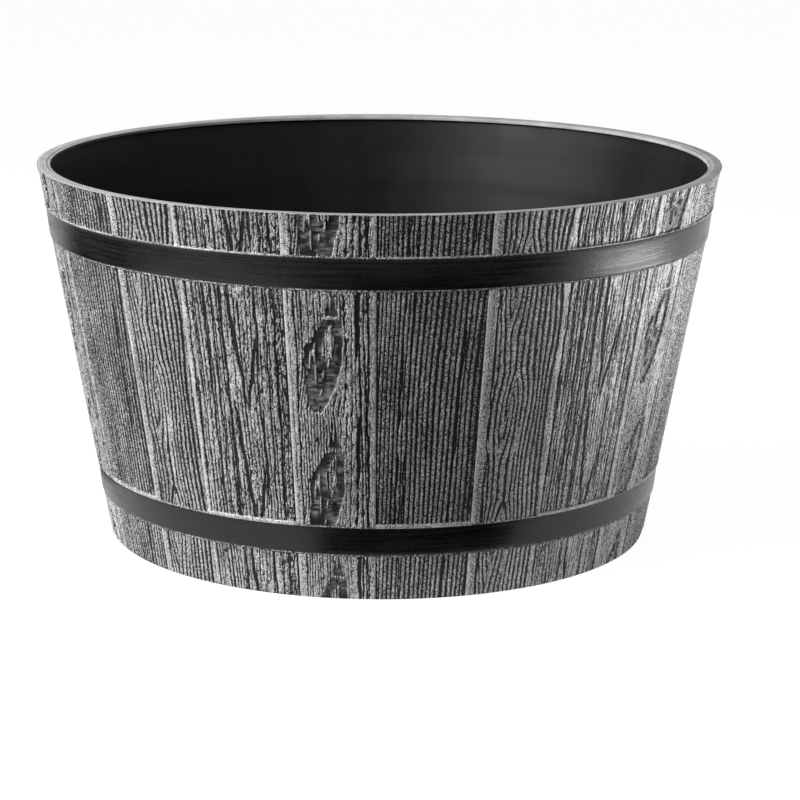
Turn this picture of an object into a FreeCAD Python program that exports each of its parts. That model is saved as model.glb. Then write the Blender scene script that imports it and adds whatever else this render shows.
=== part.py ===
import FreeCAD, Part
import Sketcher
import os

# Barrel-style flower pot: a moulded tub with two black hoops and push-in drain plugs.
# Millimetres, +Z up. The origin is the centre of the face that it stands on, and the front is -Y.

doc = FreeCAD.newDocument("flower_pot")
sheet = doc.addObject("Spreadsheet::Sheet", "Sizes")

SIZES = {
    # tub
    "top_diameter": 400.0,
    "base_diameter": 320.0,
    "pot_height": 220.0,
    "wall": 2.2,
    "floor_thickness": 2.4,
    "foot_height": 6.0,
    # rim, turned in over the wall, with a lower lip along its inner edge
    "rim_width": 8.0,
    "rim_depth": 2.6,
    "lip_width": 2.3,
    "lip_drop": 0.8,
    # staves, in pairs of a narrow one and a wide one that lies a little deeper
    "stave_pairs": 11,
    "wide_stave_angle": 18.84,
    "first_wide_stave": 8.42,
    "stave_recess": 0.6,
    "fine_bead": 0.9,
    "lower_bead": 2.3,
    "cut_margin": 1.0,
    # hoops
    "upper_hoop_drop": 24.0,
    "upper_hoop_width": 17.0,
    "lower_hoop_bottom": 27.0,
    "lower_hoop_width": 15.5,
    "hoop_thickness": 1.8,
    "hoop_proud": 0.5,
    "hoop_sink": 0.6,
    "hoop_bevel": 0.4,
    "hoop_clearance": 0.15,
    # drain holes and plugs
    "drain_count": 4,
    "drain_circle": 180.0,
    "drain_start": 45.0,
    "drain_hole": 14.0,
    "plug_clearance": 0.3,
    "plug_head": 22.0,
    "plug_head_thickness": 2.5,
    "plug_reach": 3.0,
    "plug_bevel": 0.6,
    "tab_width": 12.0,
    "tab_thickness": 2.4,
    "tab_height": 7.0,
}


def fill_sheet():
    # One row for each size: its name, then its value under an alias
    for row, (name, value) in enumerate(SIZES.items(), start=1):
        sheet.set(f"A{row}", name)
        sheet.set(f"B{row}", str(value))
        sheet.setAlias(f"B{row}", name)
    doc.recompute()


def stave_radius(height):
    # Outside of the narrow staves: a straight taper from the base to the top
    spread = "(Sizes.top_diameter - Sizes.base_diameter) / 2"
    return f"(Sizes.base_diameter / 2 + ({height}) * {spread} / Sizes.pot_height)"


def hoop_bottom(hoop):
    # The upper hoop hangs a set drop below the rim, the lower one stands a set height above the base
    if hoop == "upper_hoop":
        return "(Sizes.pot_height - Sizes.upper_hoop_drop - Sizes.upper_hoop_width)"
    return "Sizes.lower_hoop_bottom"


def hoop_top(hoop):
    return f"({hoop_bottom(hoop)} + Sizes.{hoop}_width)"


def hoop_outside(hoop):
    # A hoop leans less than the staves: proud of them at its bottom edge, sunk at its top edge
    low = f"({stave_radius(hoop_bottom(hoop))} + Sizes.hoop_proud)"
    high = f"({stave_radius(hoop_top(hoop))} - Sizes.hoop_sink)"
    return low, high


def seat_ends(hoop):
    # Heights of the bead below a hoop and of the ledge above it
    low = f"({hoop_bottom(hoop)} - Sizes.hoop_clearance)"
    high = f"({hoop_top(hoop)} + Sizes.hoop_clearance)"
    return low, high


def seat_radii(hoop):
    # The seat lies behind the hoop, parallel to it
    behind = "(Sizes.hoop_thickness + Sizes.hoop_clearance)"
    low, high = hoop_outside(hoop)
    return f"({low} - {behind})", f"({high} - {behind})"


def new_body(label):
    body = doc.addObject("PartDesign::Body", label)
    body.Label = label
    return body


def origin_item(body, role):
    for item in body.Origin.OriginFeatures:
        if item.Role == role:
            return item
    raise ValueError(f"{body.Label} has no {role}")


def new_sketch(body, role, name):
    sketch = body.newObject("Sketcher::SketchObject", name)
    sketch.AttachmentSupport = [(origin_item(body, role), "")]
    sketch.MapMode = "FlatFace"
    return sketch


def draw_outline(sketch, corners):
    # Joins corners, each given as an across and an up expression, into one closed line
    places = []
    for across, up in corners:
        x = float(sketch.evalExpression(across))
        y = float(sketch.evalExpression(up))
        places.append(FreeCAD.Vector(x, y, 0))
    first = sketch.GeometryCount
    count = len(corners)
    for index in range(count):
        line = Part.LineSegment(places[index], places[(index + 1) % count])
        sketch.addGeometry(line, False)
    for index in range(count):
        following = first + (index + 1) % count
        sketch.addConstraint(Sketcher.Constraint("Coincident", first + index, 2, following, 1))
    for index, (across, up) in enumerate(corners):
        for kind, size, place in (("DistanceX", across, places[index].x), ("DistanceY", up, places[index].y)):
            rule = sketch.addConstraint(Sketcher.Constraint(kind, first + index, 1, place))
            sketch.setExpression(f"Constraints[{rule}]", size)


def revolve(body, sketch, name):
    turned = body.newObject("PartDesign::Revolution", name)
    turned.Profile = sketch
    turned.ReferenceAxis = (sketch, ["V_Axis"])
    turned.Angle = 360
    doc.recompute()
    return turned


def polar_pattern(body, feature, name, count):
    pattern = body.newObject("PartDesign::PolarPattern", name)
    pattern.Originals = [feature]
    pattern.Axis = (origin_item(body, "Z_Axis"), [""])
    pattern.Angle = 360
    pattern.setExpression("Occurrences", count)
    body.Tip = pattern
    doc.recompute()
    return pattern


def require_cut(body, before, name):
    if body.Shape.Volume >= before:
        raise RuntimeError(f"{name} cut nothing")


def seat_outside(hoop):
    # Bead, seat and ledge as the outline climbs past a hoop
    low, high = seat_ends(hoop)
    radius_low, radius_high = seat_radii(hoop)
    return [
        (stave_radius(low), low),
        (radius_low, low),
        (radius_high, high),
        (stave_radius(high), high),
    ]


def seat_inside(hoop):
    # The inner face makes the same jog one wall further on, as the outline comes down again
    seat_low, seat_high = seat_ends(hoop)
    radius_low, radius_high = seat_radii(hoop)
    low = f"({seat_low} - Sizes.wall)"
    high = f"({seat_high} + Sizes.wall)"
    return [
        (f"{stave_radius(high)} - Sizes.wall", high),
        (f"{radius_high} - Sizes.wall", high),
        (f"{radius_low} - Sizes.wall", low),
        (f"{stave_radius(low)} - Sizes.wall", low),
    ]


def tub_outline():
    floor_top = "Sizes.foot_height + Sizes.floor_thickness"
    rim_bottom = "Sizes.pot_height - Sizes.rim_depth"
    lip_top = "Sizes.pot_height - Sizes.lip_drop"
    rim_inside = "Sizes.top_diameter / 2 - Sizes.rim_width"
    foot = [
        ("0", "Sizes.foot_height"),
        (f"{stave_radius('Sizes.foot_height')} - Sizes.wall", "Sizes.foot_height"),
        ("Sizes.base_diameter / 2 - Sizes.wall", "0"),
        ("Sizes.base_diameter / 2", "0"),
    ]
    rim = [
        (stave_radius(rim_bottom), rim_bottom),
        ("Sizes.top_diameter / 2", rim_bottom),
        ("Sizes.top_diameter / 2", "Sizes.pot_height"),
        (f"{rim_inside} + Sizes.lip_width", "Sizes.pot_height"),
        (f"{rim_inside} + Sizes.lip_width", lip_top),
        (rim_inside, lip_top),
        (rim_inside, rim_bottom),
        (f"{stave_radius(rim_bottom)} - Sizes.wall", rim_bottom),
    ]
    inner_floor = [
        (f"{stave_radius(floor_top)} - Sizes.wall", floor_top),
        ("0", floor_top),
    ]
    outside = seat_outside("lower_hoop") + seat_outside("upper_hoop")
    inside = seat_inside("upper_hoop") + seat_inside("lower_hoop")
    return foot + outside + rim + inside + inner_floor


def stave_fields():
    # The three bands of bare stave, from below the base up to the rim
    lower_low, lower_high = seat_ends("lower_hoop")
    upper_low, upper_high = seat_ends("upper_hoop")
    return [
        ("-Sizes.cut_margin", f"{lower_low} - Sizes.fine_bead"),
        (f"{lower_high} + Sizes.lower_bead", f"{upper_low} - Sizes.fine_bead"),
        (f"{upper_high} + Sizes.fine_bead", "Sizes.pot_height - Sizes.rim_depth"),
    ]


def cut_wide_staves(body):
    # Lowers every wide stave by one step, between the beads that follow the hoops and the rim
    sketch = new_sketch(body, "XZ_Plane", "wide_stave_outline")
    sketch.AttachmentOffset = FreeCAD.Placement(FreeCAD.Vector(), FreeCAD.Rotation(FreeCAD.Vector(0, 1, 0), 1))
    sketch.setExpression("AttachmentOffset.Rotation.Angle", "Sizes.first_wide_stave - 90")
    for low, high in stave_fields():
        draw_outline(sketch, [
            (f"{stave_radius(low)} - Sizes.stave_recess", low),
            (f"{stave_radius(low)} + Sizes.cut_margin", low),
            (f"{stave_radius(high)} + Sizes.cut_margin", high),
            (f"{stave_radius(high)} - Sizes.stave_recess", high),
        ])
    doc.recompute()
    before = body.Shape.Volume
    groove = body.newObject("PartDesign::Groove", "wide_stave")
    groove.Profile = sketch
    groove.ReferenceAxis = (sketch, ["V_Axis"])
    groove.Midplane = True
    groove.setExpression("Angle", "Sizes.wide_stave_angle")
    doc.recompute()
    require_cut(body, before, "wide_stave")
    before = body.Shape.Volume
    polar_pattern(body, groove, "wide_staves", "Sizes.stave_pairs")
    require_cut(body, before, "wide_staves")


def cut_drain_holes(body):
    sketch = new_sketch(body, "XY_Plane", "drain_outline")
    across = "Sizes.drain_circle / 2 * cos(Sizes.drain_start * 1 deg)"
    up = "Sizes.drain_circle / 2 * sin(Sizes.drain_start * 1 deg)"
    x = float(sketch.evalExpression(across))
    y = float(sketch.evalExpression(up))
    circle = Part.Circle(FreeCAD.Vector(x, y, 0), FreeCAD.Vector(0, 0, 1), sheet.drain_hole / 2)
    hole = sketch.addGeometry(circle, False)
    # Point 3 of a circle is its centre
    for kind, size, place in (("DistanceX", across, x), ("DistanceY", up, y)):
        rule = sketch.addConstraint(Sketcher.Constraint(kind, hole, 3, place))
        sketch.setExpression(f"Constraints[{rule}]", size)
    rule = sketch.addConstraint(Sketcher.Constraint("Diameter", hole, sheet.drain_hole))
    sketch.setExpression(f"Constraints[{rule}]", "Sizes.drain_hole")
    doc.recompute()
    before = body.Shape.Volume
    pocket = body.newObject("PartDesign::Pocket", "drain_hole")
    pocket.Profile = sketch
    pocket.Reversed = True
    pocket.setExpression("Length", "Sizes.foot_height + Sizes.floor_thickness + Sizes.cut_margin")
    doc.recompute()
    require_cut(body, before, "drain_hole")
    polar_pattern(body, pocket, "drain_holes", "Sizes.drain_count")


def make_tub():
    body = new_body("barrel_tub")
    sketch = new_sketch(body, "XZ_Plane", "tub_outline")
    draw_outline(sketch, tub_outline())
    revolve(body, sketch, "tub_wall")
    cut_wide_staves(body)
    cut_drain_holes(body)
    return body


def make_hoop(hoop):
    # A band with bevelled outer edges, as thick along its whole height
    body = new_body(hoop)
    sketch = new_sketch(body, "XZ_Plane", f"{hoop}_outline")
    low, high = hoop_outside(hoop)
    bottom = hoop_bottom(hoop)
    top = hoop_top(hoop)
    draw_outline(sketch, [
        (f"{low} - Sizes.hoop_thickness", bottom),
        (f"{low} - Sizes.hoop_bevel", bottom),
        (low, f"{bottom} + Sizes.hoop_bevel"),
        (high, f"{top} - Sizes.hoop_bevel"),
        (f"{high} - Sizes.hoop_bevel", top),
        (f"{high} - Sizes.hoop_thickness", top),
    ])
    revolve(body, sketch, f"{hoop}_band")
    return body


def make_plug(number):
    # A stem through the floor, a head that rests on the floor and a tab to pull it out by
    body = new_body(f"drain_plug_{number}")
    floor_top = "Sizes.foot_height + Sizes.floor_thickness"
    head_top = f"{floor_top} + Sizes.plug_head_thickness"
    stem_end = "Sizes.foot_height - Sizes.plug_reach"
    stem = "Sizes.drain_hole / 2 - Sizes.plug_clearance"
    head = "Sizes.plug_head / 2"
    sketch = new_sketch(body, "XZ_Plane", f"plug_outline_{number}")
    draw_outline(sketch, [
        ("0", stem_end),
        (f"{stem} - Sizes.plug_bevel", stem_end),
        (stem, f"{stem_end} + Sizes.plug_bevel"),
        (stem, floor_top),
        (head, floor_top),
        (head, f"{head_top} - Sizes.plug_bevel"),
        (f"{head} - Sizes.plug_bevel", head_top),
        ("0", head_top),
    ])
    revolve(body, sketch, f"plug_turned_{number}")
    tab_sketch = new_sketch(body, "XZ_Plane", f"tab_outline_{number}")
    side = "Sizes.tab_width / 2"
    tab_top = f"{head_top} + Sizes.tab_height"
    draw_outline(tab_sketch, [
        (f"-{side}", f"{head_top} - Sizes.plug_bevel"),
        (side, f"{head_top} - Sizes.plug_bevel"),
        (side, f"{tab_top} - Sizes.tab_thickness"),
        (f"{side} - Sizes.tab_thickness", tab_top),
        (f"-{side} + Sizes.tab_thickness", tab_top),
        (f"-{side}", f"{tab_top} - Sizes.tab_thickness"),
    ])
    tab = body.newObject("PartDesign::Pad", f"plug_tab_{number}")
    tab.Profile = tab_sketch
    tab.Midplane = True
    tab.setExpression("Length", "Sizes.tab_thickness")
    turn = f"(Sizes.drain_start + {number - 1} * 360 / Sizes.drain_count)"
    body.setExpression("Placement.Base.x", f"Sizes.drain_circle / 2 * cos({turn} * 1 deg)")
    body.setExpression("Placement.Base.y", f"Sizes.drain_circle / 2 * sin({turn} * 1 deg)")
    doc.recompute()
    return body


def check_document(bodies):
    for item in doc.Objects:
        if "Invalid" in item.State or "Error" in item.State:
            raise RuntimeError(f"{item.Label} did not rebuild: {item.State}")
    for body in bodies:
        if body.Shape.isNull() or not body.Shape.isValid() or len(body.Shape.Solids) != 1:
            raise RuntimeError(f"{body.Label} is not one valid solid")


def write_parts(bodies):
    os.makedirs("parts", exist_ok=True)
    for body in bodies:
        body.Shape.exportStep(f"parts/{body.Label}.step")
        print(f"{body.Label}: {body.Shape.Volume / 1000:.2f} cm3")


fill_sheet()
bodies = [make_tub(), make_hoop("upper_hoop"), make_hoop("lower_hoop")]
for plug_number in range(1, int(sheet.drain_count) + 1):
    bodies.append(make_plug(plug_number))
doc.recompute()
check_document(bodies)
write_parts(bodies)
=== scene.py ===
import math

import bpy
import numpy as np
from mathutils import Matrix, Vector


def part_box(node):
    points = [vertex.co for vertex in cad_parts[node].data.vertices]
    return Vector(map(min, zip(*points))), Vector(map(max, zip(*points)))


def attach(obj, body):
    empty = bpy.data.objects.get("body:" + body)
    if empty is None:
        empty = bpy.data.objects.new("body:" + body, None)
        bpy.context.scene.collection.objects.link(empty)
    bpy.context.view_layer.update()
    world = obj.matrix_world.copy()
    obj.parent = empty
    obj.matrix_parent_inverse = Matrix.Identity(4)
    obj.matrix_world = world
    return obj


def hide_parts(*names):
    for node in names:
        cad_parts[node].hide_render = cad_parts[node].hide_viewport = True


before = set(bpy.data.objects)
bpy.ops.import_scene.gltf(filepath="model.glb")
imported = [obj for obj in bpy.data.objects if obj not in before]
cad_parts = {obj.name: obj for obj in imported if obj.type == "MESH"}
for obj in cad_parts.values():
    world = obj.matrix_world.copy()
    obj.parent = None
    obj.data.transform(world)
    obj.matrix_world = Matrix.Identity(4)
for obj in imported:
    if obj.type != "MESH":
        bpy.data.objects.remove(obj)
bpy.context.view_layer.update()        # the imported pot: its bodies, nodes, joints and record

mm = 0.001               # shapes are worked out in millimetres and stored in metres


# Driving sizes, read from the frame

def nodeBox(node):
    low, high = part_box(node)
    return np.array(low) / mm, np.array(high) / mm


def nodePoints(node):
    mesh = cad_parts[node].data
    points = np.empty(len(mesh.vertices) * 3)
    mesh.vertices.foreach_get("co", points)
    return points.reshape(-1, 3) / mm


tubPoints = nodePoints("barrel_tub")
tubRadii = np.hypot(tubPoints[:, 0], tubPoints[:, 1])
potTop = tubPoints[:, 2].max()
topRadius = tubRadii.max()
baseRadius = tubRadii[tubPoints[:, 2] < 0.01].max()
upperHoop = nodeBox("upper_hoop")
lowerHoop = nodeBox("lower_hoop")
hoopSeats = [(lowerHoop[0][2], lowerHoop[1][2]), (upperHoop[0][2], upperHoop[1][2])]
print("frame: pot %.0f mm tall, %.0f mm across the rim, %.0f mm across the base"
      % (potTop, 2 * topRadius, 2 * baseRadius))


# Helpers for shapes

def smoothStep(low, high, value):
    # 0 up to low, 1 from high on, and 3t^2 - 2t^3 between them
    t = np.clip((value - low) / (high - low), 0, 1)
    return t * t * (3 - 2 * t)


def cloud(across, up, seed):
    # soft noise from 0 to 1: random numbers on a unit lattice, blended by smooth steps from corner to corner
    table = np.random.default_rng(seed).random((89, 97))
    column = np.floor(across).astype(int)
    row = np.floor(up).astype(int)
    u = smoothStep(0, 1, across - column)
    v = smoothStep(0, 1, up - row)
    left, right = column % 89, (column + 1) % 89
    below, above = row % 97, (row + 1) % 97
    low = table[left, below] * (1 - u) + table[right, below] * u
    high = table[left, above] * (1 - u) + table[right, above] * u
    return low * (1 - v) + high * v


def polar(radius, angle, height):
    # a point by its distance from the pot's axis, its angle to the right of the front, and its height
    radius, angle, height = np.broadcast_arrays(radius, angle, height)
    return np.stack([radius * np.sin(angle), -radius * np.cos(angle), height], -1)


def ringMesh(name, points, closedRows=False, uv=None):
    # rings of points joined by quads: each ring is closed, and the rows close up too or end in flat caps
    rows, columns = points.shape[:2]
    index = np.arange(rows * columns).reshape(rows, columns)
    after = np.roll(index, -1, 1)
    if closedRows:
        above, aboveAfter = np.roll(index, -1, 0), np.roll(after, -1, 0)
        quads = np.stack([index, after, aboveAfter, above], -1).reshape(-1, 4)
        caps = []
    else:
        quads = np.stack([index[:-1], after[:-1], after[1:], index[1:]], -1).reshape(-1, 4)
        caps = [index[0][::-1], index[-1]]
    corners = np.concatenate([quads.ravel()] + caps)
    starts = np.concatenate([np.arange(len(quads)) * 4, len(quads) * 4 + np.arange(len(caps)) * columns])
    smooth = np.ones(len(starts), bool)
    smooth[len(quads):] = False
    mesh = bpy.data.meshes.new(name)
    mesh.vertices.add(rows * columns)
    mesh.vertices.foreach_set("co", (points * mm).ravel())
    mesh.loops.add(len(corners))
    mesh.loops.foreach_set("vertex_index", corners.astype(np.int32))
    mesh.polygons.add(len(starts))
    mesh.polygons.foreach_set("loop_start", starts.astype(np.int32))
    mesh.polygons.foreach_set("use_smooth", smooth)
    mesh.update(calc_edges=True)
    if uv is not None:
        sheet = mesh.uv_layers.new(name="OFBake")
        sheet.data.foreach_set("uv", uv.reshape(-1, 2)[corners].ravel())
    return mesh


def placePiece(mesh, body, slotName, material, *nodes):
    piece = bpy.data.objects.new(mesh.name, mesh)
    bpy.context.scene.collection.objects.link(piece)
    mesh.materials.append(material)
    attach(piece, body)
    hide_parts(*nodes)


def roundCorners(outline, radius, steps=4):
    # each corner of a closed outline becomes a short quadratic curve that starts and ends one radius from it
    before = np.roll(outline, 1, 0) - outline
    after = np.roll(outline, -1, 0) - outline
    reachBack = np.minimum(radius, 0.45 * np.linalg.norm(before, axis=1))[:, None]
    reachOn = np.minimum(radius, 0.45 * np.linalg.norm(after, axis=1))[:, None]
    start = outline + before / np.linalg.norm(before, axis=1)[:, None] * reachBack
    end = outline + after / np.linalg.norm(after, axis=1)[:, None] * reachOn
    t = np.linspace(0, 1, steps)[None, :, None]
    curve = start[:, None] * (1 - t) ** 2 + outline[:, None] * 2 * t * (1 - t) + end[:, None] * t ** 2
    return curve.reshape(-1, 2)


def turned(outline, segments):
    # a closed outline of (radius, height) carried round the axis
    angle = np.linspace(0, 2 * np.pi, segments, endpoint=False)
    return polar(outline[:, :1], angle[None, :], outline[:, 1:])


# Shader maths

class Value:
    # one output socket; the operators add Math nodes
    def __init__(self, sheet, socket):
        self.sheet, self.socket = sheet, socket

    def maths(self, operation, first, second):
        return self.sheet.value("ShaderNodeMath", {"operation": operation}, {0: first, 1: second})

    def __add__(self, other):
        return self.maths("ADD", self, other)

    def __radd__(self, other):
        return self.maths("ADD", other, self)

    def __mul__(self, other):
        return self.maths("MULTIPLY", self, other)

    def __rmul__(self, other):
        return self.maths("MULTIPLY", other, self)


class Sheet:
    # a material's node tree
    def __init__(self, name):
        self.material = bpy.data.materials.new(name)
        self.material.use_nodes = True
        self.tree = self.material.node_tree
        self.tree.nodes.clear()

    def node(self, kind, settings=None, sockets=None):
        made = self.tree.nodes.new(kind)
        for name, setting in (settings or {}).items():
            setattr(made, name, setting)
        for name, given in (sockets or {}).items():
            given = given.socket if isinstance(given, Value) else given
            if isinstance(given, bpy.types.NodeSocket):
                self.tree.links.new(given, made.inputs[name])
            else:
                made.inputs[name].default_value = given
        return made

    def value(self, kind, settings=None, sockets=None, output=0):
        return Value(self, self.node(kind, settings, sockets).outputs[output])

    def ramp(self, source, low, high, start=0.0, end=1.0):
        # start up to low, end from high on, and a smooth step between them
        limits = {"From Min": low, "From Max": high, "To Min": start, "To Max": end}
        return self.value("ShaderNodeMapRange", {"interpolation_type": "SMOOTHSTEP"},
                          {"Value": source, **limits})

    def noise(self, stretch, detail=2.0, roughness=0.5):
        # noise on Object coordinates, with its own number of cells per metre along each axis
        place = self.node("ShaderNodeTexCoord").outputs["Object"]
        scaled = self.node("ShaderNodeVectorMath", {"operation": "MULTIPLY"}, {0: place, 1: stretch})
        look = {"Scale": 1.0, "Detail": detail, "Roughness": roughness}
        return self.value("ShaderNodeTexNoise", {}, {"Vector": scaled.outputs[0], **look})

    def fromAxis(self):
        # distance from the pot's axis in metres
        place = self.node("ShaderNodeTexCoord").outputs["Object"]
        flat = self.node("ShaderNodeVectorMath", {"operation": "MULTIPLY"}, {0: place, 1: (1, 1, 0)})
        return self.value("ShaderNodeVectorMath", {"operation": "LENGTH"}, {0: flat.outputs[0]}, "Value")

    def blend(self, factor, first, second):
        mix = self.node("ShaderNodeMix", {"data_type": "RGBA"}, {"Factor": factor})
        for socket, given in ((6, first), (7, second)):
            if isinstance(given, bpy.types.NodeSocket):
                self.tree.links.new(given, mix.inputs[socket])
            else:
                mix.inputs[socket].default_value = (*given, 1)
        return mix.outputs[2]

    def bump(self, height, depth, strength):
        made = self.node("ShaderNodeBump", {}, {"Height": height, "Distance": depth, "Strength": strength})
        return made.outputs[0]

    def finish(self, **sockets):
        names = {name.replace("_", " "): given for name, given in sockets.items()}
        surface = self.node("ShaderNodeBsdfPrincipled", {}, names)
        self.node("ShaderNodeOutputMaterial", {}, {"Surface": surface.outputs[0]})
        return self.material


# Finishes

paintLook = dict(
    bright=(0.88, 0.88, 0.885),    # dry-brushed paint on the ridges
    worn=(0.66, 0.66, 0.665),      # the same paint where the brush ran dry
    dull=(0.07, 0.07, 0.071),      # the thin coat between its dashes
    thinAndSheen=(0.32, 0.32, 0.322),      # the thin coat in the hollows, where it is thickest, and the painted sheen on the right side's grooves and hollows
    plastic=(0.007, 0.007, 0.0074),
    metal=0.35,                    # how much of the paint is metal flake
    dash=(1500, 1500, 1150),       # cells per metre of the dashes that the brush left
    grit=(3800, 3800, 3000),
    patch=(110, 110, 45),          # cells per metre of the patches where the brush ran dry
)


def grainPaint():
    sheet = Sheet("woodGrainPaint")
    load = sheet.value("ShaderNodeAttribute", {"attribute_name": "paint"}, {}, "Fac")
    thinAndSheen = sheet.value("ShaderNodeAttribute", {"attribute_name": "thinCoatAndSheen"}, {}, "Fac")
    dash = sheet.noise(paintLook["dash"], 1.0, 0.5)
    grit = sheet.noise(paintLook["grit"], 1.0, 0.5)
    rough = dash * 0.6 + grit * 0.4
    cover = sheet.ramp(load + rough * 1.2, 0.91, 1.15)
    speck = sheet.ramp(rough + load * 0.14, 0.515, 0.69)
    patch = sheet.ramp(sheet.noise(paintLook["patch"], 2.0), 0.35, 0.7)
    ridge = sheet.blend(patch, paintLook["worn"], paintLook["bright"])
    silver = sheet.blend(speck, paintLook["dull"], ridge)
    # the thin coat in the hollows and the painted sheen on the right side's grooves lighten the black plastic
    washedAndSheen = thinAndSheen * sheet.ramp(rough, 0.35, 0.65, 0.4, 1.25)
    ground = sheet.blend(washedAndSheen, paintLook["plastic"], paintLook["thinAndSheen"])
    return sheet.finish(
        Base_Color=sheet.blend(cover, ground, silver),
        Metallic=cover * paintLook["metal"],
        Roughness=sheet.ramp(cover, 0, 1, 0.47, 0.44),
        Normal=sheet.bump(rough, 0.0005, 0.5),
        Specular_IOR_Level=0.3)


rimLook = dict(
    worn=(0.52, 0.52, 0.525),
    bright=(0.84, 0.84, 0.845),
    rings=700,                     # turned marks per metre across the rim
    cloudy=(50, 50, 50),
    speck=(900, 900, 900),
)


def rimPaint():
    sheet = Sheet("rimPaint")
    rings = sheet.value("ShaderNodeTexNoise", {"noise_dimensions": "1D"},
                        {"W": sheet.fromAxis() * rimLook["rings"], "Scale": 1.0, "Detail": 2.0})
    cloudy = sheet.noise(rimLook["cloudy"], 2.0, 0.5)
    speck = sheet.noise(rimLook["speck"], 2.0, 0.6)
    wear = sheet.ramp(rings * 0.45 + cloudy * 0.35 + speck * 0.2, 0.38, 0.62)
    return sheet.finish(
        Base_Color=sheet.blend(wear, rimLook["worn"], rimLook["bright"]),
        Roughness=sheet.ramp(speck, 0.3, 0.7, 0.45, 0.6),
        Normal=sheet.bump(speck, 0.0002, 0.5),
        Specular_IOR_Level=0.35)


hoopLook = dict(
    black=(0.002, 0.002, 0.0021),
    rubbed=(0.012, 0.012, 0.0124),
    streak=(18, 18, 900),          # long thin marks round the band
    cloudy=(55, 55, 70),
    grain=(1000, 1000, 1000),      # the mould's fine grain
)


def hoopBlack():
    sheet = Sheet("hoopBlack")
    streak = sheet.noise(hoopLook["streak"], 3.0, 0.55)
    cloudy = sheet.noise(hoopLook["cloudy"], 3.0, 0.6)
    grain = sheet.noise(hoopLook["grain"], 2.0, 0.6)
    shade = sheet.ramp(streak * 0.5 + cloudy * 0.2 + grain * 0.3, 0.35, 0.7)
    return sheet.finish(
        Base_Color=sheet.blend(shade, hoopLook["black"], hoopLook["rubbed"]),
        Roughness=sheet.ramp(shade, 0, 1, 0.25, 0.39),
        Normal=sheet.bump(streak * 0.5 + cloudy * 0.1 + grain, 0.0003, 0.38),
        Specular_IOR_Level=0.42)


linerLook = dict(
    black=(0.003, 0.003, 0.0032),
    pale=(0.010, 0.010, 0.0104),
    flow=(30, 30, 14),             # flow marks, longer upwards
    fine=(700, 700, 700),
)


def linerBlack():
    sheet = Sheet("linerBlack")
    flow = sheet.noise(linerLook["flow"], 4.0, 0.6)
    fine = sheet.noise(linerLook["fine"], 2.0, 0.5)
    return sheet.finish(
        Base_Color=sheet.blend(sheet.ramp(flow, 0.4, 0.68), linerLook["black"], linerLook["pale"]),
        Roughness=sheet.ramp(flow, 0.3, 0.7, 0.43, 0.52),
        Normal=sheet.bump(fine, 0.0001, 0.3),
        Specular_IOR_Level=0.3)


rubberLook = dict(clean=(0.05, 0.05, 0.05), dusty=(0.10, 0.098, 0.095), dust=(240, 240, 240))


def plugRubber():
    sheet = Sheet("plugRubber")
    dust = sheet.noise(rubberLook["dust"], 3.0, 0.6)
    return sheet.finish(
        Base_Color=sheet.blend(sheet.ramp(dust, 0.4, 0.75), rubberLook["clean"], rubberLook["dusty"]),
        Roughness=sheet.ramp(dust, 0.3, 0.7, 0.6, 0.75),
        Normal=sheet.bump(dust, 0.0002, 0.4))


# The pot's wall

wall = dict(
    thickness=2.2,
    collarDip=0.5,       # how far the collar is drawn in half way up
    rimDepth=2.6,
    seatDepth=1.6,       # how far the wall stands back behind a hoop
    seatBulge=0.3,       # how far the inside swells behind it, and over what height the swelling fades
    seatFade=9.0,
    floorTop=8.4,
    floorUnder=6.0,
    floorFillet=5.0,
    footWidth=2.2,
)


def wallRadius(height):
    # a straight cone from base to rim, its collar above the upper hoop drawn in along half a sine wave
    cone = baseRadius + (topRadius - baseRadius) * height / potTop
    above = np.clip((height - hoopSeats[1][1]) / (potTop - hoopSeats[1][1]), 0, 1)
    return cone - wall["collarDip"] * np.sin(np.pi * above)


# Staves: relief and paint

absent = -2.0             # the width of a border or gutter that a stave doesn't have

staves = dict(
    pairs=11,
    pairKinds=(("split", "torn"), ("straight", "arched")),      # wide and narrow, by turns
    # degrees of the circle that each kind takes
    breadth=dict(straight=18.0, arched=13.95, split=18.6, torn=14.9),
    firstEdge=-164.75,    # where the first stave begins, degrees to the right of the front
    patternRadius=180.0,  # the radius at which distances across a stave are true
    edges=dict(           # widths of the smooth painted borders and dark gutters along each kind's sides
        straight=dict(left=absent, right=absent, leftGutter=0.9, rightGutter=0.6),
        arched=dict(left=1.9, right=0.4, leftGutter=absent, rightGutter=absent),
        split=dict(left=1.9, right=absent, leftGutter=absent, rightGutter=0.6),
        torn=dict(left=4.3, right=2.9, leftGutter=absent, rightGutter=absent)),
    smoothBorder=2.3,     # a left border is smooth for this far, and flecked beyond it
    recess=0.6,           # a wide stave lies this far behind a narrow one
    relief=0.7,           # depth of the grooves
    hollowDepth=0.85,     # further depth of the torn hollows
    back=1.7,             # how far behind the wall's face a stave's own solid ends
    backColumns=9,
    repeat=75.0,          # the pattern comes again after this height
    step=0.31,            # spacing of the columns across a stave
    rowStep=0.95,         # spacing of the rows up it
    fineBead=0.9,         # height of the painted beads beside the hoops
    lowerBead=2.3,        # and of a wide stave's bead above the lower hoop
    # how much paint each pattern carries
    brush=dict(straight=0.70, arched=0.95, split=1.14, torn=1.17),
    footBounce=0.15,       # how much lighter the foot below the lower hoop is painted: painted bounce light from the floor
    sheenMiddle=50.0,      # middle of the painted sheen on the right side, degrees to the right
    sheenReach=20.0,       # how far that goes to each side
    sheenOnRidges=0.45,       # how much lighter the ridges are painted there, as painted sheen
    sheenInGrooves=0.9,         # how much painted sheen lightens the grooves there
    sheenInHollows=0.45,      # and how much painted sheen lightens the torn hollows there
)


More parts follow.
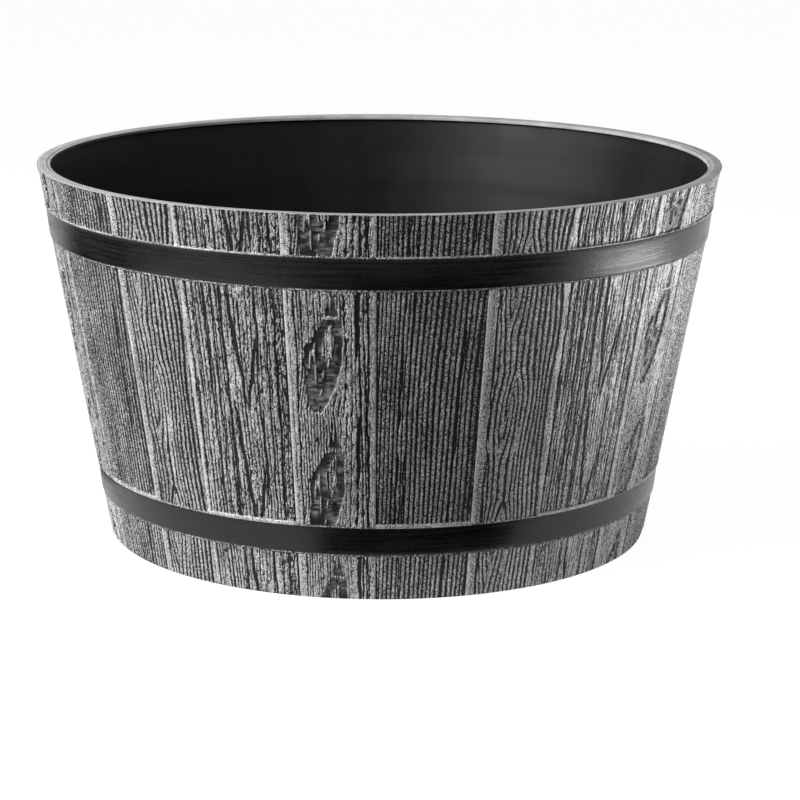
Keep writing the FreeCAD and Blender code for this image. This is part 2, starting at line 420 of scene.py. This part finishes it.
def grooves(phase, up, seed, narrow, wide, gaps):
    # phase counts the lines of grain; each has a groove of its own width and depth, with gaps along it
    line = np.floor(phase).astype(int)
    luck = np.random.default_rng(seed).random((2, 97))[:, line % 97]
    half = narrow + (wide - narrow) * luck[0] ** 1.5
    depth = 0.7 + 0.3 * luck[1]
    depth = depth * smoothStep(gaps - 0.12, gaps + 0.12, cloud(line * 1.73, up / 22, seed + 1))
    return 1 - depth * (1 - smoothStep(half - 0.10, half + 0.14, np.abs(phase - line - 0.5)))


def slit(across, up, ends, half):
    # a split along the grain: a band round the straight line between its two ends, drawn to a point at each
    (bottomPlace, bottom), (topPlace, top) = ends
    t = np.clip((up - bottom) / (top - bottom), 0, 1)
    middle = bottomPlace + (topPlace - bottomPlace) * t
    middle = middle + 1.4 * (cloud(0 * up + bottomPlace, up / 9, 77) - 0.5)
    breadth = half * np.sqrt(4 * t * (1 - t))
    return (1 - smoothStep(breadth - 0.25, breadth + 0.35, np.abs(across - middle))) * (breadth > 0)


def dashes(across, up, seed):
    # raised dashes along the grain: noise of 0.5 mm across and 1.5 mm along it, nudged sideways and sharpened
    nudge = 0.9 * cloud(across / 3, up / 5, seed + 1)
    return smoothStep(0.15, 0.65, cloud(across / 0.5 + nudge, up / 1.5, seed))


def straightStave(across, up, half):
    # even lines, closer together on the left, that lean and sway a little, with a few wide grooves
    leaning = across - 0.03 * (up - 110)
    closer = 1.5 * (1 - np.exp(-(leaning + half) / 8))
    sway = 0.7 * cloud(0 * across + 0.5, up / 60, 11) + 0.8 * cloud(leaning / 11, up / 130, 12)
    phase = leaning / 2.95 + closer + sway + 0.13 * cloud(across / 1.0, up / 1.7, 13)
    height = grooves(phase, up, 14, 0.13, 0.25, 0.0)
    for place in (-15.8, -11.8, 15.9):
        height = np.minimum(height, 1 - slit(leaning, up, ((place, -40.0), (place + 0.5, 260.0)), 0.45))
    height = np.minimum(height, 0.74 + 0.26 * dashes(across, up, 15))
    shade = smoothStep(half - 6.5, half - 3, across)
    return height * (1 - 0.3 * shade), 0 * across


def archedStave(across, up, half):
    # lines that part round a slim leaning lens in each repeat: every line is pushed away from the lens's axis
    # by its half width at that height, less so further off, so that chevrons nest inside it
    drop = np.mod(131.0 - up, staves["repeat"])
    opening = np.interp(drop, (0, 8, 18, 34, 53, 75), (0, 2.4, 4.6, 3.6, 0, 0))
    axis = -2.0 - 0.15 * np.minimum(drop, 53)
    apart = across - axis - 1.2 * (cloud(0 * across + 0.5, up / 30, 21) - 0.5)
    push = np.tanh(apart / 0.5) * opening * np.exp(-(apart / 11) ** 2)
    phase = (across - push) / 3.2 + 0.9 * cloud(across / 9, up / 38, 22)
    phase = phase + 0.2 * cloud(across / 1.0, up / 1.9, 23)
    height = grooves(phase, up, 24, 0.15, 0.30, 0.05)
    band = smoothStep(5.4, 4.8, across + half)                  # no lines beside its left edge
    height = np.maximum(height, 0.9 * band)
    height = np.minimum(height, 1 - slit(across, up, ((-half + 5.9, -60.0), (-half + 5.9, 280.0)), 0.4))
    return np.minimum(height, 0.62 + 0.38 * dashes(across, up, 25)), 0 * across


def splitStave(across, up, half):
    # flecked bands between long splits, two of which run together downwards in each repeat
    sway = 1.1 * cloud(across / 14, up / 60, 31) + 0.3 * cloud(across / 1.2, up / 2.0, 32)
    height = grooves(across / 2.3 + sway, up, 33, 0.08, 0.22, 0.24)
    height = np.minimum(height, 0.42 + 0.58 * dashes(across, up, 34))
    turn = np.mod(up - 34.0, staves["repeat"]) + 109.0          # the height in the first repeat, 109 to 184
    torn = slit(across, turn, ((5.2, 108.0), (-3.2, 187.0)), 1.05)
    torn = np.maximum(torn, slit(across, turn, ((5.4, 107.0), (13.2, 150.0)), 0.95))
    torn = np.maximum(torn, slit(across, turn, ((13.4, 128.0), (13.6, 187.0)), 0.65))
    for place, breadth in ((-half + 2.6, 0.45), (-22.6, 0.3), (-16.4, 0.55), (-12.0, 0.4), (-6.4, 0.6),
                           (18.0, 0.4), (23.0, 0.45)):
        torn = np.maximum(torn, slit(across, up, ((place, -60.0), (place + 1.0, 280.0)), breadth))
    shade = smoothStep(half - 9, half - 5, across)
    return np.minimum(height, 1 - torn) * (1 - 0.3 * shade), 0.3 * torn


def tornStave(across, up, half):
    # in each repeat a torn hollow, forked round a tongue at its top, with fine ribs on its left and
    # wider ridges on its right
    turn = np.mod(up - 107.0, staves["repeat"]) + 107.0         # the height in the first repeat, 107 to 182
    ragged = 0.8 * (cloud(across / 1.6, up / 2.4, 41) - 0.5) + 0.8 * (cloud(across / 5, up / 7, 42) - 0.5)
    ragged = ragged + 2.4 * (cloud(across / 0.8, up / 6, 50) - 0.5)      # teeth along the grain
    left = np.interp(turn, (108, 111, 114, 146, 149, 156, 161, 164),
                     (-8, -11.5, -13.4, -14.2, -11.3, -6.9, -3.9, 0)) + ragged
    right = np.interp(turn, (108, 112, 116.5, 123, 130.5, 137, 146, 164),
                      (-7, -4.4, -1.6, 1.6, 3.4, 5.4, 6.0, 6.0))
    right = right + 0.3 * ragged
    inside = smoothStep(-0.3, 0.3, across - left) * smoothStep(-0.3, 0.3, right - across)
    inside = inside * smoothStep(108, 110, turn + 1.5 * ragged) * (1 - smoothStep(161.5, 162, turn))
    tongueLeft = np.interp(turn, (140, 142, 149, 155, 160), (-4.6, -5.2, -4.5, -2.2, 0.9)) + 0.6 * ragged
    tongue = smoothStep(-0.2, 0.3, across - tongueLeft) * (1 - smoothStep(1.3, 1.8, across + 0.4 * ragged))
    tongue = tongue * smoothStep(140, 141, turn + ragged) * (1 - smoothStep(159, 161, turn))
    crackHalf = np.interp(turn, (164, 169, 178), (3.4, 2.3, 0.0))
    crack = smoothStep(0.3, -0.3, np.abs(across - 0.9 + 0.5 * ragged) - crackHalf)
    crack = crack * smoothStep(163.5, 164.5, turn) * (crackHalf > 0)
    hollow = np.maximum(inside * (1 - tongue), crack)
    bent = across + 3.5 * np.exp(-((turn - 109) / 16) ** 2) * smoothStep(12, 0, across)
    sway = 1.0 * cloud(across / 5, up / 40, 43) + 0.3 * cloud(across, up / 2.4, 44)
    ridges = grooves(bent / 2.6 + sway, up, 144, 0.09, 0.25, 0.08)
    gash = slit(across, turn, ((13.4, 140.0), (14.6, 190.0)), 1.1)
    ridges = np.minimum(ridges, 1 - gash)
    ribs = grooves(bent / 1.6 + sway, up, 51, 0.12, 0.24, 0.25)
    side = smoothStep(5.5, 7.0, across)
    height = np.minimum(ridges * side + ribs * (1 - side), 0.45 + 0.55 * dashes(bent, up, 46))
    for place, breadth in ((-half + 5.2, 0.4), (half - 4.2, 0.45)):
        height = np.minimum(height, 1 - slit(across, up, ((place, -60.0), (place, 280.0)), breadth))
    lip = np.exp(-((across - right - 0.7) / 0.7) ** 2)
    lip = lip * smoothStep(109, 112, turn) * smoothStep(161, 158, turn)
    height = np.maximum(height, 0.95 * lip)                     # a bright ridge beside the hollow
    dash = np.zeros_like(across)
    for place, low, high in ((-10.9, 134, 145), (-8.5, 138, 149), (-7.9, 125, 136), (-3.8, 129, 133),
                             (-1.1, 135, 140), (0.9, 168, 176), (-9.4, 141, 145), (-5.6, 119, 123)):
        dash = np.maximum(dash, slit(across, turn, ((place - 0.3, low), (place + 0.3, high)), 0.5))
    tick = smoothStep(1.0, 0.4, np.abs(turn - 163.0 + 0.08 * across)) * smoothStep(-4.2, -3.0, across)
    tick = tick * smoothStep(5.0, 4.2, across) * (up > 140)     # a short bar above the upper hollow
    standing = np.maximum(dash, tick)
    height = height * (1 - hollow) + hollow * 0.3 * cloud(across / 3.2, up / 1.0, 48)
    height = np.maximum(height, standing)
    return height, hollow * (1 - standing)


patterns = dict(straight=straightStave, arched=archedStave, split=splitStave, torn=tornStave)


def staveRows(wide):
    # each row: its height, how far it is drawn in from the wall, its share of the grain, its bead's paint
    (lowBottom, lowTop), (highBottom, highTop) = hoopSeats
    seat, bead = wall["seatDepth"], staves["fineBead"]
    tall = staves["lowerBead"] if wide else bead
    ledgePaint = 1.0 if wide else 0.55
    rows = [(0.0, 0.9, 0.5, 0.5), (0.25, 0.4, 0.8, 0.5), (0.7, 0.1, 1, 0.5)]

    def grainRows(bottom, top):
        count = int((top - bottom) / staves["rowStep"])
        rows.extend((height, 0, 1, 0) for height in np.linspace(bottom, top, count))

    def seatRows(bottom, top, beadBelow, beadAbove, paintBelow, paintAbove):
        rows.extend([
            (bottom - beadBelow - 0.45, 0, 1, 0.1), (bottom - beadBelow - 0.2, 0, 0.1, 0.1),
            (bottom - beadBelow, 0, 0, paintBelow), (bottom - 0.3, 0, 0, paintBelow),
            (bottom - 0.1, 0.25, 0, paintBelow), (bottom + 0.1, seat, 0, 0), (top - 0.1, seat, 0, 0),
            (top + 0.1, 0.25, 0, paintAbove), (top + 0.3, 0, 0, paintAbove),
            (top + beadAbove, 0, 0, paintAbove), (top + beadAbove + 0.25, 0, 0.6, paintAbove),
            (top + beadAbove + 0.5, 0, 1, 0)])

    grainRows(1.3, lowBottom - bead - 1.0)
    seatRows(lowBottom, lowTop, bead, tall, 0.45, ledgePaint)
    grainRows(lowTop + tall + 1.0, highBottom - bead - 1.0)
    seatRows(highBottom, highTop, bead, bead, 0.5, ledgePaint)
    grainRows(highTop + bead + 1.0, potTop - 1.1)
    rows.extend([(potTop - 0.7, 0, 1, 0.8), (potTop - 0.45, 0, 0.6, 0.9), (potTop - 0.28, 0, 0, 1.1),
                 (potTop - 0.16, 0.10, 0, 1.1), (potTop - 0.06, 0.45, 0, 1.1), (potTop - 0.02, 0.8, 0, 1.1),
                 (potTop - 0.25, 1.3, 0, 1.1)])
    return np.array(rows).T


def staveMesh(name, kind, middle, breadth, seed):
    # the stave's face is a grid of columns across and rows up; each row closes round behind it, and the face
    # stands out by its relief: face radius = wall - recess - relief * (1 - grain) - hollow
    wide = kind in ("straight", "split")
    angle = math.radians(breadth)
    half = angle / 2 * staves["patternRadius"]
    count = int(2 * half / staves["step"])
    turn = np.linspace(-1, 1, count)
    height, drawnIn, field, beadPaint = staveRows(wide)
    up = np.repeat(height[:, None], count, 1)
    across = np.repeat(turn[None, :] * half, len(height), 0)
    grain, hollow = patterns[kind](across, up, half)

    # the edges: painted borders, flecked on the right and past the smooth part of the left, and dark gutters
    ragged = 0.7 * (cloud(across * 0 + seed, up / 6, seed) - 0.5)
    ragged = ragged + 0.7 * (cloud(across / 1.0, up / 1.5, seed + 1) - 0.5)
    fromLeft, fromRight = across + half, half - across
    edges = staves["edges"][kind]
    border = np.maximum(smoothStep(0.3, -0.3, fromLeft + ragged - edges["left"]),
                        smoothStep(0.3, -0.3, fromRight + ragged - edges["right"]))
    if kind == "torn":
        broken = smoothStep(0.42, 0.5, cloud(0 * across, up / 3, 49))
        border = border * (1 - broken * smoothStep(0.6, 0.2, np.abs(fromLeft - 2.4)))
    flecked = (across > 0) | (fromLeft > staves["smoothBorder"])
    flecks = smoothStep(0.2, 0.7, cloud(across / 0.7, up / 1.6, seed + 6)) * flecked
    grain = grain * (1 - border) + border * (1 - 0.4 * flecks)
    gutter = np.maximum(smoothStep(0.4, -0.4, fromLeft + ragged - edges["leftGutter"]),
                        smoothStep(0.4, -0.4, fromRight + ragged - edges["rightGutter"]))
    grain = np.clip(np.minimum(grain, 1 - gutter), 0, 1)
    hollow = hollow * (1 - border) * (1 - gutter)

    # the paint: a brushed coat on the ridges and a thin one in the hollows, with painted sheen on the right
    # side's ridges, grooves and hollows, and painted bounce light on the foot
    faceAngle = math.radians(middle) + turn * angle / 2
    # painted sheen: the right side is painted lighter, most at the sheen's middle and fading to each side
    fromSheen = np.mod(np.degrees(faceAngle) - staves["sheenMiddle"] + 180, 360) - 180
    paintedSheen = np.exp(-(fromSheen / staves["sheenReach"]) ** 2)[None, :]
    mask = field[:, None]
    level = 1 - mask * (1 - grain)
    worn = (0.62 + 0.36 * cloud(across / 7, up / 24, seed + 2)) * staves["brush"][kind]
    # the brush's own wear, raised by painted bounce light on the foot and painted sheen on the right side's
    # ridges
    worn = worn * (1 + staves["footBounce"] * (up < hoopSeats[0][0]) + staves["sheenOnRidges"] * paintedSheen)
    brushedAndSheen = smoothStep(0.2, 0.85, grain) * worn * (1 - border)
    brushedAndSheen = brushedAndSheen + border * (1.0 + 0.4 * cloud(across / 1.1, up / 9, seed + 4) - 0.5 * flecks)
    # painted sheen lightens the torn hollows on the right side
    brushedAndSheen = brushedAndSheen + staves["sheenInHollows"] * hollow * paintedSheen
    streaks = cloud(across / 3, up / 1.0, seed + 5) ** 2
    streaks = streaks * smoothStep(0.1, 0.8, cloud(across / 4, up / 9, seed + 7))
    # painted sheen in the grooves and hollows of the right side, carried with the thin coat
    sheenCoat = staves["sheenInGrooves"] * paintedSheen
    thinCoatAndSheen = np.maximum(hollow * (0.02 + 2.0 * streaks + sheenCoat), (1 - level) * sheenCoat)
    thinCoatAndSheen = mask * np.clip(thinCoatAndSheen, 0, 1)
    streaky = beadPaint[:, None] * (0.75 + 0.4 * cloud(across / 2.2, up / 3, seed + 3))
    paint = mask * brushedAndSheen + (1 - mask) * streaky

    # the face, and the plain back that closes the stave's solid
    lift = smoothStep(potTop - 0.8, potTop - 0.3, up)      # the recess dies out under the rim
    inset = drawnIn[:, None] + (staves["recess"] if wide else 0) * mask * (1 - lift)
    inset = inset + staves["relief"] * (1 - level) + staves["hollowDepth"] * hollow * mask
    if not wide:
        rounding = (1 - smoothStep(0, 0.8, np.minimum(fromLeft, fromRight))) * (1 - lift)
        inset = inset + 0.45 * rounding * mask
    face = polar(wallRadius(up) - inset, faceAngle[None, :], up)
    backTurn = np.linspace(1, -1, staves["backColumns"]) * angle / 2
    backRadius = wallRadius(height) - np.maximum(staves["back"], drawnIn + 0.6)
    back = polar(backRadius[:, None], math.radians(middle) + backTurn[None, :], height[:, None])
    points = np.concatenate([face, back], 1)

    share = np.concatenate([np.linspace(0, 0.97, count), np.linspace(0.98, 1.0, len(backTurn))])
    rise = np.linspace(0, 1, len(height))
    uv = np.stack(np.broadcast_arrays(share[None, :], rise[:, None]), -1)
    mesh = ringMesh(name, points, uv=uv)
    for layer, coat in (("paint", paint), ("thinCoatAndSheen", thinCoatAndSheen)):
        load = np.concatenate([coat, np.zeros((len(height), len(backTurn)))], 1)
        mesh.attributes.new(layer, "FLOAT", "POINT").data.foreach_set("value", load.ravel())
    return mesh


def makeStaves(material):
    # wide and narrow staves by turns, in two kinds of pair, and the last one takes what is left of the circle
    kinds = [kind for pair in range(staves["pairs"]) for kind in staves["pairKinds"][pair % 2]]
    breadths = np.array([staves["breadth"][kind] for kind in kinds])
    breadths[-1] = 360 - breadths[:-1].sum()
    middles = staves["firstEdge"] + np.cumsum(breadths) - breadths / 2
    for order, kind in enumerate(kinds):
        number = order // 2 + 1
        name = "%sStave%02d" % (("wide", "narrow")[order % 2], number)
        mesh = staveMesh(name, kind, middles[order], breadths[order], 100 + 10 * number)
        placePiece(mesh, "tub", "wood_grain_paint", material, "barrel_tub")
    print("staves: %d made" % len(kinds))


# Rim, liner, hoops and plugs

rim = dict(width=8.0, lipWidth=2.3, lipDrop=0.45, edge=0.5, segments=360)


def makeRim(material):
    # an outline of the flat rim with its lower inner lip, its corners rounded, turned round the axis
    outer, inner, top = topRadius - 0.55, topRadius - rim["width"], potTop
    under = potTop - wall["rimDepth"]
    lipEdge = inner + rim["lipWidth"]
    outline = np.array([
        (outer - 2.4, under), (outer - 2.4, top - 0.9), (outer - 0.1, top - 0.4), (outer, top),
        (lipEdge + 0.3, top), (lipEdge - 0.5, top - rim["lipDrop"]),
        (inner, top - rim["lipDrop"]), (inner, under)])
    mesh = ringMesh("rim", turned(roundCorners(outline, rim["edge"]), rim["segments"]), closedRows=True)
    placePiece(mesh, "tub", "wood_grain_paint", material, "barrel_tub")
    print("rim: made")


liner = dict(segments=360, hub=3.0, hiddenRows=44, insideRows=96, floorRows=8)
drain = dict(radius=7.0, segments=64)
plugNumbers = range(1, 5)


def innerRadius(height):
    # the wall's radius less its thickness, swelling inwards a little behind each hoop
    radius = wallRadius(height) - wall["thickness"]
    fade = wall["seatFade"]
    for bottom, top in hoopSeats:
        seat = smoothStep(bottom - fade, bottom, height) - smoothStep(top, top + fade, height)
        radius = radius - wall["seatBulge"] * seat
    return radius


def drainCentres():
    # the drain holes stand under the plugs
    boxes = [nodeBox("drain_plug_%d" % number) for number in plugNumbers]
    return [(low[:2] + high[:2]) / 2 for low, high in boxes]


def cutDrains(mesh):
    # each drain hole is a cylinder through the floor, taken away from the liner
    blank = bpy.data.objects.new("blank", mesh)
    bpy.context.scene.collection.objects.link(blank)
    tall = np.array([(0.0, wall["floorUnder"] - 3), (0.0, wall["floorTop"] + 3)]) + (drain["radius"], 0)
    cutters = []
    for centre in drainCentres():
        shape = ringMesh("cutter", turned(tall, drain["segments"]) + (*centre, 0))
        cutter = bpy.data.objects.new("cutter", shape)
        bpy.context.scene.collection.objects.link(cutter)
        cut = blank.modifiers.new("drain", "BOOLEAN")
        cut.operation, cut.solver, cut.object = "DIFFERENCE", "EXACT", cutter
        cutters.append(cutter)
    bpy.context.view_layer.update()
    made = bpy.data.meshes.new_from_object(blank.evaluated_get(bpy.context.evaluated_depsgraph_get()))
    for spare in cutters + [blank]:
        bpy.data.objects.remove(spare)
    made.name = "liner"
    return made


def makeLiner(material):
    # the inside of the pot, its floor, underside and foot in one outline that starts and ends near the axis
    floorTop, floorUnder, fillet = wall["floorTop"], wall["floorUnder"], wall["floorFillet"]
    hub = liner["hub"]
    footInner = baseRadius - wall["footWidth"]
    under = [(hub, floorUnder), (footInner - 1.5, floorUnder), (footInner - 0.4, floorUnder - 0.4),
             (footInner, floorUnder - 1.5), (footInner, 0.35), (footInner + 0.3, 0.05),
             (baseRadius - 0.9, 0.05)]
    rise = np.linspace(0.5, potTop - wall["rimDepth"] + 0.3, liner["hiddenRows"])
    hidden = np.stack([innerRadius(rise) + 0.7, rise], 1)      # inside the staves' own solids
    fall = np.linspace(potTop - wall["rimDepth"] + 0.3, floorTop + fillet, liner["insideRows"])
    inside = np.stack([innerRadius(fall), fall], 1)
    bend = np.linspace(0, np.pi / 2, 8)[1:]
    corner = innerRadius(np.array([floorTop + fillet]))[0] - fillet
    bendRows = np.stack([corner + fillet * np.cos(bend), floorTop + fillet - fillet * np.sin(bend)], 1)
    inwards = np.linspace(corner - 2, hub, liner["floorRows"])
    ground = np.stack([inwards, np.full(liner["floorRows"], floorTop)], 1)
    outline = np.concatenate([under, hidden, inside, bendRows, ground])
    mesh = cutDrains(ringMesh("blank", turned(outline, liner["segments"])))
    placePiece(mesh, "tub", "satin_black", material, "barrel_tub")
    print("liner: made, with %d drain holes" % len(drainCentres()))


hoop = dict(thickness=1.8, segments=480, edge=0.45, wave=0.06, crown=0.12)


def makeHoop(name, node, material):
    # a band between the node's heights; its outer face follows the node's own, with a slight wave round it
    points = nodePoints(node)
    radii = np.hypot(points[:, 0], points[:, 1])
    bottom, top = points[:, 2].min(), points[:, 2].max()
    lowOuter = radii[points[:, 2] < bottom + 0.6].max()
    highOuter = radii[points[:, 2] > top - 0.6].max()
    thick = hoop["thickness"]
    rise = np.linspace(0, 1, 7)
    crown = hoop["crown"] * np.sin(np.pi * rise)
    outer = lowOuter + (highOuter - lowOuter) * rise + crown
    outside = np.stack([outer, bottom + (top - bottom) * rise], 1)
    outline = np.concatenate([outside, [(highOuter - thick, top), (lowOuter - thick, bottom)]])
    ring = turned(roundCorners(outline, hoop["edge"]), hoop["segments"])
    angle = np.linspace(0, 2 * np.pi, hoop["segments"], endpoint=False)
    wave = np.sin(7 * angle + bottom) + 0.6 * np.sin(17 * angle + 1.3 * bottom)
    ring[..., :2] *= (1 + hoop["wave"] / highOuter * wave)[None, :, None]
    placePiece(ringMesh(name, ring, closedRows=True), "tub", "satin_black", material, node)
    print(name + ": made")


plug = dict(head=11.0, headThick=2.5, stem=6.7, segments=72,
            tabWide=12.0, tabThick=2.4, tabCorner=2.4, edge=0.5)


def makePlug(number, material):
    # a turned head and stem, and a tab whose outline is carried through its thickness with small bevels
    node, body = "drain_plug_%d" % number, "plug_%d" % number
    low, high = nodeBox(node)
    place = np.array([(low[0] + high[0]) / 2, (low[1] + high[1]) / 2, 0])
    seat = wall["floorTop"]
    headTop = seat + plug["headThick"]
    outline = roundCorners(np.array([
        (1.2, low[2]), (plug["stem"] - 0.6, low[2]), (plug["stem"], low[2] + 0.8), (plug["stem"], seat),
        (plug["head"], seat), (plug["head"], headTop), (1.2, headTop)]), 0.6)
    mesh = ringMesh("drainPlug%d" % number, turned(outline, plug["segments"]) + place)
    placePiece(mesh, body, "soft_rubber", material, node)

    side, corner, top, foot = plug["tabWide"] / 2, plug["tabCorner"], high[2], headTop - 0.6
    shape = np.array([(-side, foot), (-side, top - corner), (-side + corner, top), (side - corner, top),
                      (side, top - corner), (side, foot)])
    face = roundCorners(shape, 1.0)
    middle = shape.mean(0)
    slim = middle + (face - middle) * (1 - plug["edge"] / side)
    depth = plug["tabThick"] / 2
    layers = ((slim, -depth), (face, -depth + plug["edge"]), (face, depth - plug["edge"]), (slim, depth))
    rows = np.stack([np.stack([sheet[:, 0], np.full(len(sheet), y), sheet[:, 1]], 1) for sheet, y in layers])
    placePiece(ringMesh("pullTab%d" % number, rows + place), body, "soft_rubber", material, node)
    print("plug %d: made" % number)


# Stage, light and camera

floorLook = dict(
    half=9.0,                      # metres from the middle to a side
    plain=(0.75, 0.75, 0.75, 1),   # what lights the pot from below
    pale=(0.20, 0.20, 0.20, 1),    # what is seen of shadows on it
    glow=0.97,                     # the white that is seen
)


def makeStage():
    # a flat square; seen or reflected it is nearly white, and for other light it is a plain pale floor
    sheet = Sheet("paleFloor")
    path = sheet.node("ShaderNodeLightPath")
    seen = Value(sheet, path.outputs["Is Camera Ray"]) + Value(sheet, path.outputs["Is Glossy Ray"])
    seen = seen + Value(sheet, path.outputs["Is Transmission Ray"])
    plain = sheet.node("ShaderNodeBsdfDiffuse", {}, {"Color": floorLook["plain"]})
    pale = sheet.node("ShaderNodeBsdfDiffuse", {}, {"Color": floorLook["pale"]})
    outside = sheet.ramp(sheet.fromAxis(), 0.90 * baseRadius * mm, baseRadius * mm)
    paintedShadowTint = sheet.blend(outside, (0, 0, 0), (1, 1, 1))           # no glow under the pot: painted shadow where it stands
    glow = sheet.node("ShaderNodeEmission", {}, {"Color": paintedShadowTint, "Strength": floorLook["glow"]})
    lit = sheet.node("ShaderNodeAddShader", {}, {0: pale.outputs[0], 1: glow.outputs[0]})
    mixed = sheet.node("ShaderNodeMixShader", {}, {0: seen, 1: plain.outputs[0], 2: lit.outputs[0]})
    sheet.node("ShaderNodeOutputMaterial", {}, {"Surface": mixed.outputs[0]})
    mesh = bpy.data.meshes.new("floor")
    side = floorLook["half"]
    corners = [(-side, -side, 0), (side, -side, 0), (side, side, 0), (-side, side, 0)]
    mesh.from_pydata(corners, [], [(0, 1, 2, 3)])
    mesh.materials.append(sheet.material)
    floor = bpy.data.objects.new("floor", mesh)
    bpy.context.scene.collection.objects.link(floor)


darkCard = dict(
    # the inner edge: degrees to the right of the front, and metres from the axis there
    azimuth=(-126, -100, -82, -78, -28, -22, -14, 28, 34, 40, 46, 56),
    inner=(0.22, 0.22, 0.38, 0.62, 0.62, 0.40, 0.19, 0.19, 0.21, 0.26, 0.36, 0.50),
    outer=1.3,
    lift=0.002,
    steps=169,
    tone=(0.01, 0.01, 0.01, 1),
)


def makeDarkCard():
    # a dark card flat on the floor round the pot: it only shows in reflections and keeps the hoops black
    degrees = np.linspace(darkCard["azimuth"][0], darkCard["azimuth"][-1], darkCard["steps"])
    inner = np.interp(degrees, darkCard["azimuth"], darkCard["inner"])
    radius = np.stack([inner, np.full(len(degrees), darkCard["outer"])])
    points = polar(radius, np.radians(degrees)[None, :], darkCard["lift"])
    first = np.arange(len(degrees) - 1)
    quads = np.stack([first, first + len(degrees), first + len(degrees) + 1, first + 1], 1)
    mesh = bpy.data.meshes.new("darkCard")
    mesh.from_pydata(points.reshape(-1, 3).tolist(), [], quads.tolist())
    sheet = Sheet("darkCard")
    dark = sheet.node("ShaderNodeBsdfDiffuse", {}, {"Color": darkCard["tone"]})
    sheet.node("ShaderNodeOutputMaterial", {}, {"Surface": dark.outputs[0]})
    mesh.materials.append(sheet.material)
    card = bpy.data.objects.new("darkCard", mesh)
    card.visible_camera = card.visible_diffuse = card.visible_shadow = False
    bpy.context.scene.collection.objects.link(card)


lamps = dict(
    leftSide=dict(place=(-1.10, -0.30, 0.60), aim=(0, 0, 0.12), size=(0.6, 0.6), watts=7.2),
    leftFront=dict(place=(-0.85, -0.85, 0.65), aim=(0, 0, 0.12), size=(0.6, 0.6), watts=7.5),
    topLeft=dict(place=(-0.75, 0.20, 1.0), aim=(-0.1, 0, 0.2), size=(0.6, 0.6), watts=3.8),
    rightFloor=dict(place=(0.59, -0.05, 0.004), aim=(0.59, -0.05, 1), size=(0.22, 0.30), watts=2.4),
    behind=dict(place=(0, 1.10, 0.11), aim=(0, 0, 0.11), size=(0.4, 0.2), watts=3.0),
)
studio = dict(ambient=0.02, reflected=0.45)      # the open studio's level, and what reflections see besides


def makeLight():
    for name, look in lamps.items():
        lamp = bpy.data.lights.new(name, "AREA")
        lamp.shape, lamp.energy = "RECTANGLE", look["watts"]
        lamp.size, lamp.size_y = look["size"]
        box = bpy.data.objects.new(name, lamp)
        box.location = look["place"]
        aim = Vector(look["aim"]) - Vector(look["place"])
        box.rotation_euler = aim.to_track_quat("-Z", "Y").to_euler()
        box.visible_camera = False
        bpy.context.scene.collection.objects.link(box)
    world = bpy.data.worlds.new("studio")
    bpy.context.scene.world = world
    world.use_nodes = True
    nodes, links = world.node_tree.nodes, world.node_tree.links
    path = nodes.new("ShaderNodeLightPath")
    level = nodes.new("ShaderNodeMapRange")
    level.inputs["To Min"].default_value = studio["ambient"]
    links.new(path.outputs["Is Camera Ray"], level.inputs["Value"])
    background = nodes["Background"]
    background.inputs["Color"].default_value = (1, 1, 1, 1)
    total = nodes.new("ShaderNodeMath")
    total.operation = "MULTIPLY_ADD"
    total.inputs[1].default_value = studio["reflected"]
    links.new(path.outputs["Is Glossy Ray"], total.inputs[0])
    links.new(level.outputs[0], total.inputs[2])
    links.new(total.outputs[0], background.inputs["Strength"])


camera = dict(
    target=(0, 0, 0.110), distance=1.6135, elevation=12.285, roll=0.281,
    focal=2706.1, frame=800, centre=(378.47, 341.28),      # pixels of the photograph's 800 x 800 frame
)


def makeCamera():
    # it looks at the target from the front and above, and its lens is shifted to the picture's own centre
    tilt, roll = math.radians(camera["elevation"]), math.radians(camera["roll"])
    away = Vector((0, -math.cos(tilt), math.sin(tilt)))
    level = Vector((1, 0, 0))
    upright = away.cross(level)
    right = level * math.cos(roll) + upright * math.sin(roll)
    up = upright * math.cos(roll) - level * math.sin(roll)
    data = bpy.data.cameras.new("camera")
    data.sensor_width = 36
    data.lens = camera["focal"] / camera["frame"] * data.sensor_width
    data.shift_x = 0.5 - camera["centre"][0] / camera["frame"]
    data.shift_y = camera["centre"][1] / camera["frame"] - 0.5
    data.clip_end = 50
    viewer = bpy.data.objects.new("camera", data)
    place = Matrix.Translation(Vector(camera["target"]) + away * camera["distance"])
    viewer.matrix_world = place @ Matrix((right, up, away)).transposed().to_4x4()
    bpy.context.scene.collection.objects.link(viewer)
    bpy.context.scene.camera = viewer


makeStaves(grainPaint())
makeRim(rimPaint())
makeLiner(linerBlack())
blackBand = hoopBlack()
makeHoop("upperHoop", "upper_hoop", blackBand)
makeHoop("lowerHoop", "lower_hoop", blackBand)
rubber = plugRubber()
for number in plugNumbers:
    makePlug(number, rubber)
makeStage()
makeDarkCard()
makeLight()
makeCamera()
bpy.context.scene.view_settings.view_transform = "Standard"
print("stage: floor, dark card, %d lamps and camera made" % len(lamps))
